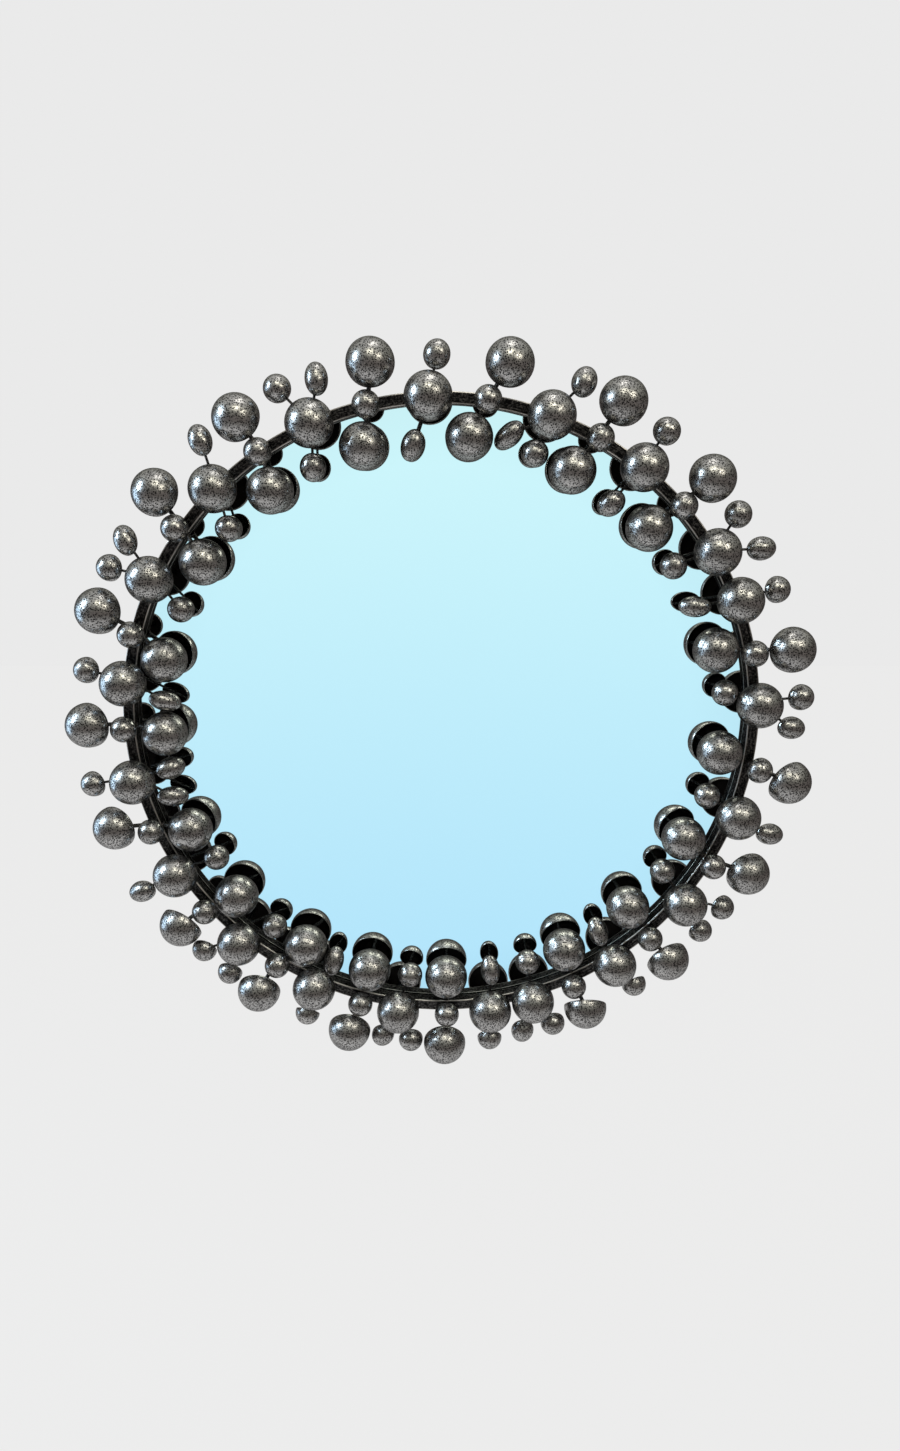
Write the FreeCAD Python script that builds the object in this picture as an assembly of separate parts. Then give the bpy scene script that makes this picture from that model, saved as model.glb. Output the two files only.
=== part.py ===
import FreeCAD, Part
import math
import os
from collections import namedtuple

# Round wall mirror in a square-bar iron ring, crowned with hollow metal half-balls, the bubbles.
# Millimetres. +Z is up and the mirror looks along -Y. The wall is the plane y = 0, and the origin
# lies on it, behind the centre of the glass. Angles run clockwise from the top, as seen from the front.

os.makedirs("parts", exist_ok=True)
V = FreeCAD.Vector

# Ring, glass and back
ring_diameter = 910.0
bar_width = 16.0
bar_depth = 16.0
bar_edge = 1.2
glass_thickness = 4.0
glass_seat = 7.0
board_thickness = 6.0
wall_gap = 9.0
seat_clearance = 0.5

# Tabs folded over the backing board
tab_metal = 1.5
tab_width = 14.0
tab_lap = 12.0
tab_count = 8

# Hanging brackets with their keyholes, and the rubber bumpers below them
bracket_metal = 3.0
bracket_width = 44.0
bracket_length = 54.0
bracket_angle = 28.0
keyhole_entry_radius = 5.0
keyhole_slot_radius = 2.75
keyhole_travel = 11.0
keyhole_margin = 17.0
bumper_radius = 10.0
bumper_tip_radius = 8.0
bumper_inset = 61.0
bumper_angle = 152.0

# Bubbles: pressed half-balls, open at the back, a little deeper than half
large_bubble_diameter = 64.0
large_bubble_wall = 1.6
small_bubble_diameter = 37.0
small_bubble_wall = 1.3
skirt_share = 0.12
seat_share = 0.25

# How high each kind's ball centre stands in front of the ring, and how far from the bar's middle
ring_large_height = 27.0
ring_small_height = 26.0
outer_large_height = 18.0
outer_large_reach = 52.0
inner_large_height = 9.0
inner_large_reach = 50.0
outer_small_height = 14.0
outer_small_reach = 54.0
inner_small_height = 9.0
inner_small_reach = 52.0

# Rods that carry the bubbles
post_diameter = 7.0
small_post_diameter = 6.0
stem_diameter = 6.0
wire_diameter = 3.6
wire_low_height = 2.6
wire_high_height = 8.0

# A small ring bubble with a large bubble outside and one inside the ring beside it. Angles and
# leans are in degrees. A turn is counted from the small bubble's angle, and a reach is a share of
# its kind's reach. A bubble leans away from the ring, and the swing turns the outer one's lean.
Branch = namedtuple("Branch", "angle post_lean outer_turn outer_share outer_lean swing "
                              "inner_turn inner_share inner_lean")
branch_shares = [
    Branch(8.0, 0, 2.5, 0.95, 15, 0, -2.5, 0.98, 15),
    Branch(28.0, 0, 0.5, 1.04, 15, 0, -1.5, 1.04, 15),
    Branch(46.5, 0, 0.0, 0.98, 15, 0, -1.0, 1.02, 15),
    Branch(76.0, 0, 1.0, 1.02, 8, 0, -2.0, 0.95, 12),
    Branch(97.5, 16, 1.5, 1.10, 32, 30, -2.0, 0.92, 18),
    Branch(117.5, 0, -1.5, 1.02, 20, 15, -2.0, 1.07, 24),
    Branch(136.0, 0, 0.5, 0.89, 36, 5, -1.0, 1.07, 24),
    Branch(153.5, 0, 0.0, 0.84, 47, 26, -1.5, 1.05, 22),
    Branch(179.0, 0, 0.5, 1.02, 15, 0, 0.0, 1.07, 22),
    Branch(196.0, 0, 0.5, 0.98, 22, 0, 0.0, 1.00, 20),
    Branch(214.0, -10, 0.0, 0.93, 25, -20, -3.0, 0.98, 22),
    Branch(231.5, 0, 0.5, 0.86, 42, -14, -2.0, 0.92, 24),
    Branch(250.0, 0, 2.5, 0.94, 25, 0, -3.0, 0.96, 26),
    Branch(270.0, 0, 0.5, 0.99, 20, 0, -1.5, 1.05, 30),
    Branch(287.5, 0, 2.0, 0.99, 15, 0, -3.5, 0.95, 30),
    Branch(308.0, 8, 2.5, 1.02, 18, 0, -2.5, 0.95, 28),
    Branch(327.5, 0, 0.0, 0.98, 22, 0, -2.5, 0.95, 22),
    Branch(347.5, 0, 2.0, 0.96, 12, 0, -2.5, 0.98, 15),
]

# A large ring bubble with small bubbles on wires that fan out from its post. The turn and the reach
# are counted as above. The lean runs along the wire, turned by the swing, and an oval share under
# one squeezes the bubble to that breadth for its length.
Wire = namedtuple("Wire", "turn reach_share lean swing oval_share")
Spray = namedtuple("Spray", "angle outer inner")
spray_shares = [
    Spray(358.0, [Wire(1.5, 0.96, 8, 0, 0.92)], [Wire(-3.5, 1.15, 12, 0, 0.70)]),
    Spray(19.0, [Wire(3.0, 1.00, 12, -25, 0.82)],
          [Wire(-6.0, 0.73, 15, -20, 0.66), Wire(-0.5, 0.99, 15, 0, 1)]),
    Spray(37.0, [Wire(-0.5, 1.01, 12, 0, 1)], [Wire(-0.5, 1.17, 18, 10, 0.82)]),
    Spray(56.5, [Wire(-3.0, 0.94, 8, 0, 1), Wire(3.5, 1.01, 12, 0, 0.78)],
          [Wire(-2.0, 1.08, 18, 0, 1)]),
    Spray(66.0, [Wire(1.0, 0.98, 20, 0, 1)], [Wire(-2.0, 1.09, 12, 12, 0.65)]),
    Spray(85.5, [Wire(-0.5, 1.13, 12, 0, 1), Wire(4.5, 0.91, 14, -25, 0.78)],
          [Wire(-2.5, 0.83, 15, 0, 1)]),
    Spray(107.0, [Wire(1.5, 1.06, 14, -18, 0.74)], [Wire(-2.0, 0.92, 15, 0, 1)]),
    Spray(126.5, [Wire(-3.0, 0.97, 28, 0, 1), Wire(2.5, 0.93, 30, -30, 0.90)],
          [Wire(-2.5, 1.01, 18, 0, 1)]),
    Spray(144.5, [Wire(-0.5, 0.91, 45, 10, 1)], [Wire(-1.0, 0.99, 18, 10, 0.66)]),
    Spray(162.0, [Wire(-2.0, 0.94, 20, 0, 1), Wire(3.5, 0.91, 18, 0, 0.84)],
          [Wire(-1.5, 1.08, 22, 0, 1)]),
    Spray(170.5, [Wire(1.0, 0.95, 35, 0, 1)], [Wire(-1.5, 1.11, 18, -8, 0.64)]),
    Spray(188.5, [Wire(-3.0, 0.95, 15, 0, 1), Wire(2.0, 0.91, 20, 0, 0.84)],
          [Wire(-1.5, 1.04, 22, 0, 1)]),
    Spray(205.5, [Wire(-1.0, 0.89, 50, 0, 1)], [Wire(-1.5, 0.88, 18, -25, 0.66)]),
    Spray(222.5, [Wire(-2.5, 0.95, 28, 0, 1), Wire(3.5, 0.90, 30, -50, 1)],
          [Wire(-3.5, 0.94, 22, 0, 1)]),
    Spray(240.5, [Wire(0.0, 1.14, 12, 10, 0.76)], [Wire(-1.5, 1.16, 22, 0, 1)]),
    Spray(260.0, [Wire(0.5, 1.11, 22, 0, 1)],
          [Wire(-5.0, 0.85, 18, -22, 0.66), Wire(1.0, 1.01, 22, 0, 0.75)]),
    Spray(278.5, [Wire(1.0, 1.02, 15, 0, 1)], [Wire(-3.0, 1.05, 18, -12, 0.64)]),
    Spray(298.0, [Wire(-1.5, 1.05, 20, 0, 1), Wire(3.5, 0.99, 12, 14, 0.74)],
          [Wire(-3.0, 0.97, 24, 0, 1)]),
    Spray(317.5, [Wire(3.5, 1.06, 12, -5, 0.74)], [Wire(-3.5, 0.92, 24, 0, 1)]),
    Spray(337.5, [Wire(-2.5, 1.05, 8, 0, 1), Wire(3.5, 0.90, 12, -15, 0.70)],
          [Wire(-3.0, 0.99, 20, 0, 0.90)]),
]

# Worked out from the sizes above
ring_radius = ring_diameter / 2
bar_inner_radius = ring_radius - bar_width
bar_middle_radius = ring_radius - bar_width / 2
glass_radius = bar_inner_radius + glass_seat
board_back = -wall_gap
board_front = board_back - board_thickness
ring_back = board_front - glass_thickness
ring_front = ring_back - bar_depth
large_radius = large_bubble_diameter / 2
small_radius = small_bubble_diameter / 2
full_turn = 360.0

made = []


def save(name, solids):
    """Write one node: a single solid, or a compound of separate solids."""
    shape = solids[0] if len(solids) == 1 else Part.makeCompound(solids)
    shape.exportStep("parts/" + name + ".step")
    made.append((name, len(solids), shape.Volume))


def radial(angle):
    """The unit vector that points out from the centre at this clock angle."""
    a = math.radians(angle)
    return V(math.sin(a), 0, math.cos(a))


def place(radius, angle, height):
    """A point at this distance from the centre, standing this far in front of the ring."""
    return radial(angle) * radius + V(0, ring_front - height, 0)


def turned_direction(direction, angle):
    """The direction turned clockwise, as seen from the front."""
    return FreeCAD.Rotation(V(0, 1, 0), angle).multVec(direction)


def turned(shape, angle):
    """The shape, made at the top of the ring, turned clockwise to its angle."""
    copy = shape.copy()
    copy.rotate(V(0, 0, 0), V(0, 1, 0), angle)
    return copy


def disc(radius, back, thickness):
    """A flat round plate whose front lies this thickness before its back."""
    return Part.makeCylinder(radius, thickness, V(0, back - thickness, 0), V(0, 1, 0))


def outline_prism(points, width):
    """A prism across the ring's top: points are (radius, depth), and the width runs along X."""
    corners = [V(-width / 2, depth, radius) for radius, depth in points]
    face = Part.Face(Part.makePolygon(corners + corners[:1]))
    return face.extrude(V(width, 0, 0))


# Ring, glass and back

def make_ring():
    """The square bar rolled into a ring, its two front edges eased."""
    outer, inner = ring_radius, bar_inner_radius
    section = [(inner, ring_back), (outer, ring_back), (outer, ring_front + bar_edge),
               (outer - bar_edge, ring_front), (inner + bar_edge, ring_front),
               (inner, ring_front + bar_edge)]
    corners = [V(radius, depth, 0) for radius, depth in section]
    face = Part.Face(Part.makePolygon(corners + corners[:1]))
    return face.revolve(V(0, 0, 0), V(0, 1, 0), full_turn)


def make_tab():
    """A steel tab welded to the back of the ring and folded over the backing board."""
    riser = glass_radius + seat_clearance
    back = board_back + tab_metal
    foot = ring_radius - seat_clearance
    profile = [(foot, ring_back), (foot, ring_back + tab_metal),
               (riser + tab_metal, ring_back + tab_metal), (riser + tab_metal, back),
               (riser - tab_lap, back), (riser - tab_lap, board_back),
               (riser, board_back), (riser, ring_back)]
    return outline_prism(profile, tab_width)


def make_bracket(angle):
    """A strip bent into an L and welded to the ring, with an upright keyhole in its flat."""
    riser = glass_radius + seat_clearance
    low = riser + bracket_metal - bracket_length
    profile = [(riser + bracket_metal, ring_back), (riser + bracket_metal, 0), (low, 0),
               (low, -bracket_metal), (riser, -bracket_metal), (riser, ring_back)]
    bracket = turned(outline_prism(profile, bracket_width), angle)
    entry = radial(angle) * (low + keyhole_margin) - V(0, bracket_metal, 0)
    top = entry + V(0, 0, keyhole_travel)
    slot_corner = entry - V(keyhole_slot_radius, 0, 0)
    through = V(0, 1, 0)
    hole = Part.makeCylinder(keyhole_entry_radius, bracket_metal, entry, through)
    round_end = Part.makeCylinder(keyhole_slot_radius, bracket_metal, top, through)
    slot = Part.makeBox(2 * keyhole_slot_radius, bracket_metal, keyhole_travel, slot_corner)
    print("keyhole entry centre", [round(c, 2) for c in entry])
    return bracket.cut(hole.fuse([slot, round_end]))


def make_bumper(angle):
    """A tapered rubber foot on the board that keeps the mirror's lower half off the wall."""
    base = radial(angle) * (glass_radius - bumper_inset) + V(0, board_back, 0)
    return Part.makeCone(bumper_radius, bumper_tip_radius, wall_gap, base, V(0, 1, 0))


# Bubbles

Shell = namedtuple("Shell", "solid length breadth wall")


def side_point(radius, height):
    """The point on a ball's side at this height above its centre."""
    return V(math.sqrt(radius ** 2 - height ** 2), 0, height)


def dome_arc(radius, floor):
    """A ball's profile from its apex down to the floor of the skirt."""
    middle = side_point(radius, (radius + floor) / 2)
    return Part.Arc(V(0, 0, radius), middle, side_point(radius, floor)).toShape()


def make_shell(radius, wall):
    """A hollow half-ball with its apex up: one profile turned about the axis."""
    floor = -radius * skirt_share
    bore = radius - wall
    rim = Part.makeLine(side_point(radius, floor), side_point(bore, floor))
    axis = Part.makeLine(V(0, 0, bore), V(0, 0, radius))
    profile = Part.Wire([dome_arc(radius, floor), rim, dome_arc(bore, floor), axis])
    solid = Part.Face(profile).revolve(V(0, 0, 0), V(0, 0, 1), full_turn)
    return Shell(solid, radius, radius, wall)


def make_egg(length, breadth):
    """A ball of this breadth stretched along X to this length."""
    stretch = FreeCAD.Matrix()
    stretch.scale(length / breadth, 1, 1)
    return Part.makeSphere(breadth).transformGeometry(stretch)


def make_oval_shell(radius, wall, oval_share):
    """A half-ball squeezed to an oval along X, apex up. Its rim keeps about the same length."""
    length = 2 * radius / (1 + oval_share)
    breadth = length * oval_share
    floor = -breadth * skirt_share
    below = Part.makeBox(2 * length, 2 * length, length, V(-length, -length, floor - length))
    hollow = make_egg(length - wall, breadth - wall)
    return Shell(make_egg(length, breadth).cut([hollow, below]).Solids[0], length, breadth, wall)


def bubble_axes(along, lean):
    """The axes of a bubble whose apex faces the room and leans towards `along`."""
    front = V(0, -1, 0)
    tip = math.radians(lean)
    apex = front * math.cos(tip) + along * math.sin(tip)
    across = front.cross(along)
    return across.cross(apex), across, apex


def set_bubble(shell, centre, axes):
    """A copy of the shell with its ball centre here, turned to these axes."""
    copy = shell.solid.copy()
    copy.Placement = FreeCAD.Placement(centre, FreeCAD.Rotation(*axes, "ZXY"))
    return copy


def wall_reach(shell, run, axes):
    """How far the shell's wall lies from its centre in the run's direction, a little way in."""
    x, y, z = (run.dot(axis) for axis in axes)
    length, breadth = shell.length - shell.wall, shell.breadth - shell.wall
    stretch = (x / length) ** 2 + (y ** 2 + z ** 2) / breadth ** 2
    return 1 / math.sqrt(stretch) + shell.wall * seat_share


def seated_rod(start, centre, diameter, carrier, bubble, shell, axes):
    """A rod from its carrier through the bubble's centre to the far wall, scribed to fit both."""
    run = centre - start
    run.normalize()
    end = centre + run * wall_reach(shell, run, axes)
    rod = Part.makeCylinder(diameter / 2, (end - start).Length, start, run)
    return rod.cut([carrier, bubble])


nodes = {}


def keep(kind, angle, solid):
    """File a solid under its kind and the half of the ring that it stands on."""
    side = "right" if (angle % full_turn) < full_turn / 2 else "left"
    nodes.setdefault(kind + "_" + side, []).append(solid)


def carried_bubble(kinds, shell, start, centre, angle, axes, diameter, carrier):
    """One bubble and the rod that carries it. Returns the rod."""
    bubble = set_bubble(shell, centre, axes)
    rod = seated_rod(start, centre, diameter, carrier, bubble, shell, axes)
    keep(kinds[0], angle, bubble)
    keep(kinds[1], angle, rod)
    return rod


def ring_bubble(kinds, shell, ring, height, lean, diameter, angle):
    """A bubble that stands on the ring's front face, on its post."""
    out = radial(angle)
    start = place(bar_middle_radius, angle, -bar_depth / 2)
    sideways = out * ((height + bar_depth / 2) * math.tan(math.radians(lean)))
    centre = start + sideways - V(0, height + bar_depth / 2, 0)
    return carried_bubble(kinds, shell, start, centre, angle, bubble_axes(out, lean), diameter, ring)


def stem_bubble(kinds, shell, ring, foot_angle, reach, height, angle, axes):
    """A large bubble beside the ring, on a stem that leaves the bar's side behind a small bubble."""
    centre = place(bar_middle_radius + reach, angle, height)
    start = place(bar_middle_radius, foot_angle, -bar_depth / 2)
    carried_bubble(kinds, shell, start, centre, angle, axes, stem_diameter, ring)


def wire_bubble(kinds, small_shell, post, post_angle, wire, reach, height, start_height):
    """A small bubble on a thin wire that leaves the post of a large ring bubble."""
    angle = post_angle + wire.turn
    shell = small_shell
    if wire.oval_share < 1:
        shell = make_oval_shell(small_radius, small_bubble_wall, wire.oval_share)
    centre = place(bar_middle_radius + reach * wire.reach_share, angle, height)
    start = place(bar_middle_radius, post_angle, start_height)
    along = V(centre.x - start.x, 0, centre.z - start.z)
    along.normalize()
    axes = bubble_axes(turned_direction(along, wire.swing), wire.lean)
    carried_bubble(kinds, shell, start, centre, angle, axes, wire_diameter, post)


def make_branch(ring, large_shell, small_shell, branch):
    """One small ring bubble and the large bubbles outside and inside the ring beside it."""
    ring_bubble(("small_ring_bubbles", "small_ring_posts"), small_shell, ring,
                ring_small_height, branch.post_lean, small_post_diameter, branch.angle)
    outer = branch.angle + branch.outer_turn
    outer_axes = bubble_axes(radial(outer + branch.swing), branch.outer_lean)
    stem_bubble(("large_outer_bubbles", "outer_stems"), large_shell, ring, branch.angle,
                outer_large_reach * branch.outer_share, outer_large_height, outer, outer_axes)
    inner = branch.angle + branch.inner_turn
    inner_axes = bubble_axes(radial(inner) * -1, branch.inner_lean)
    stem_bubble(("large_inner_bubbles", "inner_stems"), large_shell, ring, branch.angle,
                -inner_large_reach * branch.inner_share, inner_large_height, inner, inner_axes)


def make_spray(ring, large_shell, small_shell, spray):
    """One large ring bubble and the small bubbles on wires that fan out from its post."""
    post = ring_bubble(("large_ring_bubbles", "large_ring_posts"), large_shell, ring,
                       ring_large_height, 0, post_diameter, spray.angle)
    starts = (wire_low_height, wire_high_height)
    for wire, start in zip(spray.outer, starts):
        wire_bubble(("small_outer_bubbles", "outer_wires"), small_shell, post, spray.angle,
                    wire, outer_small_reach, outer_small_height, start)
    for wire, start in zip(spray.inner, starts):
        wire_bubble(("small_inner_bubbles", "inner_wires"), small_shell, post, spray.angle,
                    wire, -inner_small_reach, inner_small_height, start)


def main():
    ring = make_ring()
    save("ring_bar", [ring])
    save("mirror_glass", [disc(glass_radius, board_front, glass_thickness)])
    save("backing_board", [disc(glass_radius, board_back, board_thickness)])
    tab = make_tab()
    save("retaining_tabs", [turned(tab, full_turn * i / tab_count) for i in range(tab_count)])
    for side, angle in (("right", bracket_angle), ("left", -bracket_angle)):
        save("hanging_bracket_" + side, [make_bracket(angle)])
    for side, angle in (("right", bumper_angle), ("left", -bumper_angle)):
        save("wall_bumper_" + side, [make_bumper(angle)])
    large_shell = make_shell(large_radius, large_bubble_wall)
    small_shell = make_shell(small_radius, small_bubble_wall)
    for branch in branch_shares:
        make_branch(ring, large_shell, small_shell, branch)
    for spray in spray_shares:
        make_spray(ring, large_shell, small_shell, spray)
    for name in sorted(nodes):
        save(name, nodes[name])
    for name, count, volume in made:
        print(name, count, "solids,", round(volume / 1000, 1), "cm3")


main()
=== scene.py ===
"""Round wall mirror crowned with hollow metal half-balls, dressed in Blender around its CAD frame.

Metres, in the CAD frame: +Z is up, the mirror looks along -Y and the wall is y = 0. Clock angles
run clockwise from the top, as seen from the front.
"""
import math
from collections import namedtuple

import bpy
import numpy as np
from bpy.props import FloatProperty, FloatVectorProperty, IntProperty, PointerProperty
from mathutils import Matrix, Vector


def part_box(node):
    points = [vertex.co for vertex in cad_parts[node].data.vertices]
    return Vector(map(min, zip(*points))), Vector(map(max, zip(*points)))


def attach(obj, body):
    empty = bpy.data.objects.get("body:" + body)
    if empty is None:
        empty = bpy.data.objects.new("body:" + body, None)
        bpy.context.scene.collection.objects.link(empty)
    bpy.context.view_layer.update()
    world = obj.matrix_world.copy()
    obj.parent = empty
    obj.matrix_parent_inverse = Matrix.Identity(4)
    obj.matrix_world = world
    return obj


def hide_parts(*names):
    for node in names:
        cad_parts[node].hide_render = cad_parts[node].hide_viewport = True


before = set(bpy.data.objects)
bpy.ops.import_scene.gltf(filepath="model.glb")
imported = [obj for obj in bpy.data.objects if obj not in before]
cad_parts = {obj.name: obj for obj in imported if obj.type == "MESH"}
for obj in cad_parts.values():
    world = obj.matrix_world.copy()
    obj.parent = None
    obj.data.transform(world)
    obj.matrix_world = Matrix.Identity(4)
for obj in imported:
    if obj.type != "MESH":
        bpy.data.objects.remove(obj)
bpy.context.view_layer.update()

bl_info = {
    "name": "Bubble mirror",
    "version": (1, 0, 0),
    "blender": (4, 5, 0),
    "location": "3D View > Sidebar > Mirror",
    "description": "Builds a round mirror in an iron ring with hollow metal bubbles on rods",
    "category": "Add Mesh",
}

# A small ring bubble with a large bubble outside and one inside the ring beside it. Angles and
# leans are in degrees. A turn is counted from the small bubble's angle, and a reach is a share of
# its kind's reach. A bubble leans away from the ring, and the swing turns the outer one's lean.
# Eight inner bubbles lean less here than their solids do, as their reflections in the glass show.
Branch = namedtuple("Branch", "angle post_lean outer_turn outer_share outer_lean swing "
                              "inner_turn inner_share inner_lean")
BRANCHES = [
    Branch(8.0, 0, 2.5, 0.95, 15, 0, -2.5, 0.98, 15),
    Branch(28.0, 0, 0.5, 1.04, 15, 0, -1.5, 1.04, 15),
    Branch(46.5, 0, 0.0, 0.98, 15, 0, -1.0, 1.02, 15),
    Branch(76.0, 0, 1.0, 1.02, 8, 0, -2.0, 0.95, 12),
    Branch(97.5, 16, 1.5, 1.10, 32, 30, -2.0, 0.92, 16),
    Branch(117.5, 0, -1.5, 1.02, 20, 15, -2.0, 1.07, 24),
    Branch(136.0, 0, 0.5, 0.89, 36, 5, -1.0, 1.07, 12),
    Branch(153.5, 0, 0.0, 0.84, 47, 26, -1.5, 1.05, 22),
    Branch(179.0, 0, 0.5, 1.02, 15, 0, 0.0, 1.07, 22),
    Branch(196.0, 0, 0.5, 0.98, 22, 0, 0.0, 1.00, 11),
    Branch(214.0, -10, 0.0, 0.93, 25, -20, -3.0, 0.98, 8),
    Branch(231.5, 0, 0.5, 0.86, 42, -14, -2.0, 0.92, 9),
    Branch(250.0, 0, 2.5, 0.94, 25, 0, -3.0, 0.96, 24),
    Branch(270.0, 0, 0.5, 0.99, 20, 0, -1.5, 1.05, 30),
    Branch(287.5, 0, 2.0, 0.99, 15, 0, -3.5, 0.95, 17),
    Branch(308.0, 8, 2.5, 1.02, 18, 0, -2.5, 0.95, 15),
    Branch(327.5, 0, 0.0, 0.98, 22, 0, -2.5, 0.95, 22),
    Branch(347.5, 0, 2.0, 0.96, 12, 0, -2.5, 0.98, 15),
]

# A large ring bubble with small bubbles on wires that fan out from its post. The lean runs along
# the wire, turned by the swing, and an oval share under one squeezes the bubble to that breadth.
Wire = namedtuple("Wire", "turn reach_share lean swing oval_share")
Spray = namedtuple("Spray", "angle outer inner")
SPRAYS = [
    Spray(358.0, [Wire(1.5, 0.96, 8, 0, 0.92)], [Wire(-3.5, 1.15, 12, 0, 0.70)]),
    Spray(19.0, [Wire(3.0, 1.00, 12, -25, 0.82)],
          [Wire(-6.0, 0.73, 15, -20, 0.66), Wire(-0.5, 0.99, 15, 0, 1)]),
    Spray(37.0, [Wire(-0.5, 1.01, 12, 0, 1)], [Wire(-0.5, 1.17, 18, 10, 0.82)]),
    Spray(56.5, [Wire(-3.0, 0.94, 8, 0, 1), Wire(3.5, 1.01, 12, 0, 0.78)],
          [Wire(-2.0, 1.08, 18, 0, 1)]),
    Spray(66.0, [Wire(1.0, 0.98, 20, 0, 1)], [Wire(-2.0, 1.09, 12, 12, 0.65)]),
    Spray(85.5, [Wire(-0.5, 1.13, 12, 0, 1), Wire(4.5, 0.91, 14, -25, 0.78)],
          [Wire(-2.5, 0.83, 15, 0, 1)]),
    Spray(107.0, [Wire(1.5, 1.06, 14, -18, 0.74)], [Wire(-2.0, 0.92, 15, 0, 1)]),
    Spray(126.5, [Wire(-3.0, 0.97, 28, 0, 1), Wire(2.5, 0.93, 30, -30, 0.90)],
          [Wire(-2.5, 1.01, 18, 0, 1)]),
    Spray(144.5, [Wire(-0.5, 0.91, 45, 10, 1)], [Wire(-1.0, 0.99, 18, 10, 0.66)]),
    Spray(162.0, [Wire(-2.0, 0.94, 20, 0, 1), Wire(3.5, 0.91, 18, 0, 0.84)],
          [Wire(-1.5, 1.08, 22, 0, 1)]),
    Spray(170.5, [Wire(1.0, 0.95, 35, 0, 1)], [Wire(-1.5, 1.11, 18, -8, 0.64)]),
    Spray(188.5, [Wire(-3.0, 0.95, 15, 0, 1), Wire(2.0, 0.91, 20, 0, 0.84)],
          [Wire(-1.5, 1.04, 22, 0, 1)]),
    Spray(205.5, [Wire(-1.0, 0.89, 50, 0, 1)], [Wire(-1.5, 0.88, 18, -25, 0.66)]),
    Spray(222.5, [Wire(-2.5, 0.95, 28, 0, 1), Wire(3.5, 0.90, 30, -50, 1)],
          [Wire(-3.5, 0.94, 22, 0, 1)]),
    Spray(240.5, [Wire(0.0, 1.14, 12, 10, 0.76)], [Wire(-1.5, 1.16, 22, 0, 1)]),
    Spray(260.0, [Wire(0.5, 1.11, 22, 0, 1)],
          [Wire(-5.0, 0.85, 18, -22, 0.66), Wire(1.0, 1.01, 22, 0, 0.75)]),
    Spray(278.5, [Wire(1.0, 1.02, 15, 0, 1)], [Wire(-3.0, 1.05, 18, -12, 0.64)]),
    Spray(298.0, [Wire(-1.5, 1.05, 20, 0, 1), Wire(3.5, 0.99, 12, 14, 0.74)],
          [Wire(-3.0, 0.97, 24, 0, 1)]),
    Spray(317.5, [Wire(3.5, 1.06, 12, -5, 0.74)], [Wire(-3.5, 0.92, 24, 0, 1)]),
    Spray(337.5, [Wire(-2.5, 1.05, 8, 0, 1), Wire(3.5, 0.90, 12, -15, 0.70)],
          [Wire(-3.0, 0.99, 20, 0, 0.90)]),
]

ROOM = np.array([0.0, -1.0, 0.0])   # the way from the wall into the room
GLASS_INDEX = 1.5                   # how strongly plain glass bends light
FADE_START, FADE_END = 0.36, 0.45   # where the silvering thins, from the centre towards the rim
FADED_SHARE = 0.94                  # what it still returns there
BOX_SLACK = 0.003                   # how far a new piece's box may leave its solid's
TINY = 1e-6                         # keeps a division clear of nought

RING_AROUND = 480                   # points around the ring, the glass and a rod
GLASS_AROUND = 256
ROD_AROUND = 14
ROD_SINK = 0.0006                   # how far a rod's two ends go into what they are welded to
ROD_SEAT = 0.0003
BEAD_LENGTH_SHARE = 2.6             # how far a weld runs along its rod, for its height
BEAD_HEIGHT_SHARE = 0.6             # the most that a weld stands out, for its rod's radius

# The lamps: place, breadth and height in metres, power in watts and colour.
Lamp = namedtuple("Lamp", "name place size power tint")
LAMPS = (
    Lamp("window", (-2.6, -0.85, 1.35), (0.8, 1.3), 45, (0.69, 0.86, 1.0)),
    Lamp("side_window", (-2.6, 0.1, -0.1), (1.2, 1.5), 17, (0.55, 0.78, 1.0)),
    Lamp("ceiling_front", (0.1, -1.5, 1.85), (0.9, 0.6), 6.8, (1.0, 0.97, 0.80)),
    Lamp("ceiling_right", (1.3, -1.5, 1.3), (0.8, 0.6), 6.4, (1.0, 0.95, 0.80)),
    Lamp("ceiling_back", (0.2, -0.2, 2.2), (0.9, 0.6), 4.2, (1.0, 0.98, 0.92)),
)
FLOOR_HEIGHT = -1.45
FLOOR_HALF = 8.0                    # half the floor's side
# A pool of light painted on the floor, palest at this spot: the metal shows it, the camera does not.
PAINTED_POOL_CENTRE = (-0.9, 0.4, -1.45)       # where the floor looks palest in the metal
PAINTED_POOL_REACH, DIM_REACH = 1.5, 5.5     # from there, where it starts to dim and where it is dimmest
PLAIN_SHARE = 0.93                  # the rest of the floor's look takes the mirror's shadow

# The camera stands where the photograph's did. Degrees, and millimetres for lens and sensor.
CAMERA_PLACE = (0.0146, -1.3973, 0.3465)
CAMERA_TILT = 75.703
CAMERA_TURN = 0.08
CAMERA_LENS = 24.33
CAMERA_SENSOR = 36


def length(name, metres, description):
    """A size in metres for a property group."""
    return FloatProperty(name=name, description=description, default=metres, unit="LENGTH", precision=4)


def colour(name, values, description):
    """A colour for a property group."""
    return FloatVectorProperty(name=name, description=description, default=values, size=3,
                               subtype="COLOR", min=0, max=1)


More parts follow.
